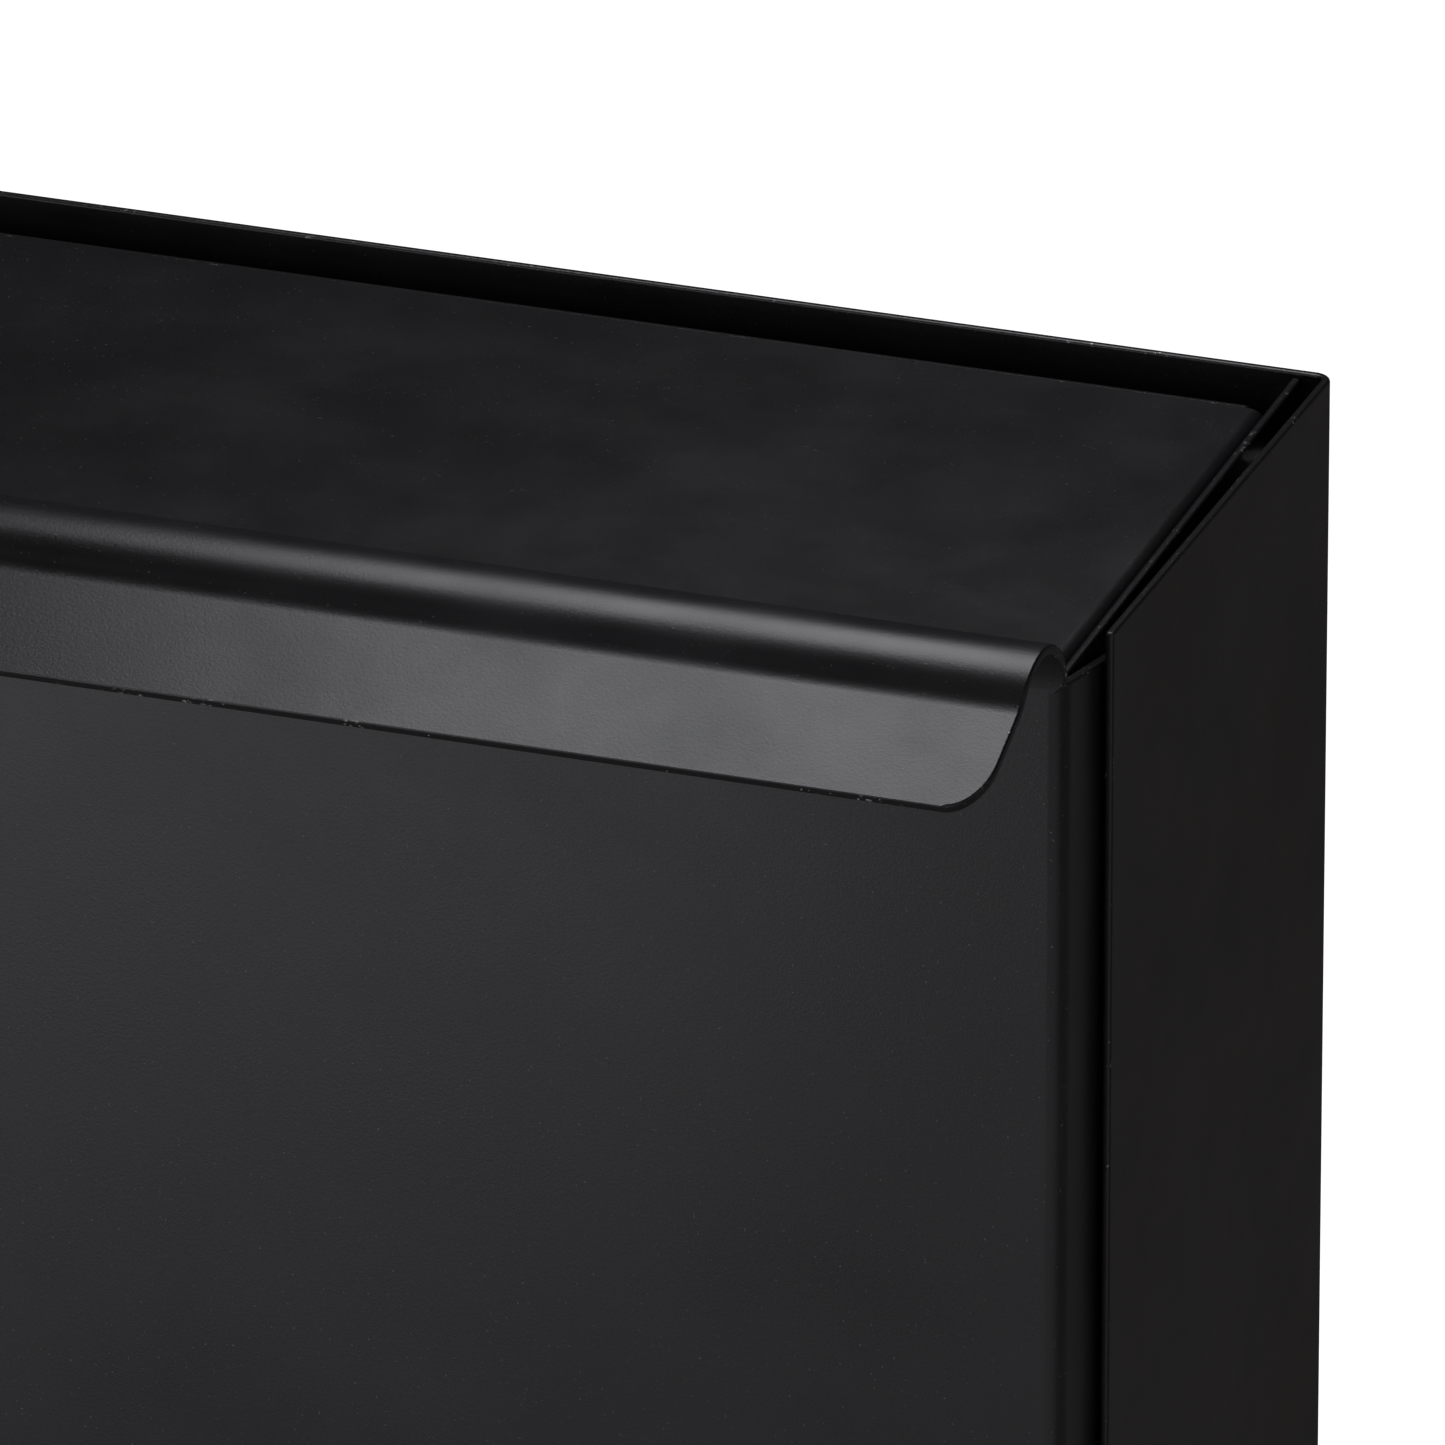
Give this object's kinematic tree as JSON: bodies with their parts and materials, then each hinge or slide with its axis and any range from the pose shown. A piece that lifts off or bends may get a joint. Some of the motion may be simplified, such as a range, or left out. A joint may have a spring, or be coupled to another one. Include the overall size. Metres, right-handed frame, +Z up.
{
  "type": "wall mounted mailbox",
  "caption": "Wall mounted sheet steel mailbox with a lift-up lid, a bottom-hinged front door and a rolled, flared finger lip along the door's top edge.",
  "frame": {"origin": "middle of the back sheet's wall face", "axes": "+Y towards the wall, -Y to the front, +X to the right as the box is faced, +Z up"},
  "size_m": [0.3636, 0.1369, 0.2964],
  "materials": {
    "black_coat": "satin powder coat",
    "stainless": "brushed",
    "zinc": "zinc plated",
    "ferrite": "ground",
    "nylon": "moulded",
    "rubber": "matt",
    "black_plastic": "moulded"
  },
  "bodies": {
    "shell": {"outer_shell": "black_coat", "inner_body": "black_coat", "front_rail": "black_coat", "door_hinge_pin_left": "stainless", "door_hinge_clip_left": "stainless", "lid_hinge_pin_left": "stainless", "lid_hinge_washer_left": "nylon", "lid_hinge_clip_left": "stainless", "catch_housing_left": "black_plastic", "catch_magnet_left": "ferrite", "catch_rivet_left": "zinc", "lid_pad_left": "rubber", "door_buffer_left": "rubber", "door_hinge_pin_right": "stainless", "door_hinge_clip_right": "stainless", "lid_hinge_pin_right": "stainless", "lid_hinge_washer_right": "nylon", "lid_hinge_clip_right": "stainless", "catch_housing_right": "black_plastic", "catch_magnet_right": "ferrite", "catch_rivet_right": "zinc", "lid_pad_right": "rubber", "door_buffer_right": "rubber", "body_stud_1": "zinc", "body_nut_1": "zinc", "body_stud_2": "zinc", "body_nut_2": "zinc", "body_stud_3": "zinc", "body_nut_3": "zinc", "body_stud_4": "zinc", "body_nut_4": "zinc"},
    "door": {"front_door": "black_coat", "door_hinge_bush_left": "nylon", "door_hinge_bush_right": "nylon"},
    "lid": {"lid": "black_coat"}
  },
  "joints": [
    {"name": "door_hinge", "type": "hinge", "parent": "shell", "child": "door", "pos_m": [0, -0.084, -0.136], "axis": [1, 0, 0], "range_deg": [0, 90]},
    {"name": "lid_hinge", "type": "hinge", "parent": "shell", "child": "lid", "pos_m": [0, -0.012, 0.1344], "axis": [-1, 0, 0], "range_deg": [0, 90]}
  ]
}
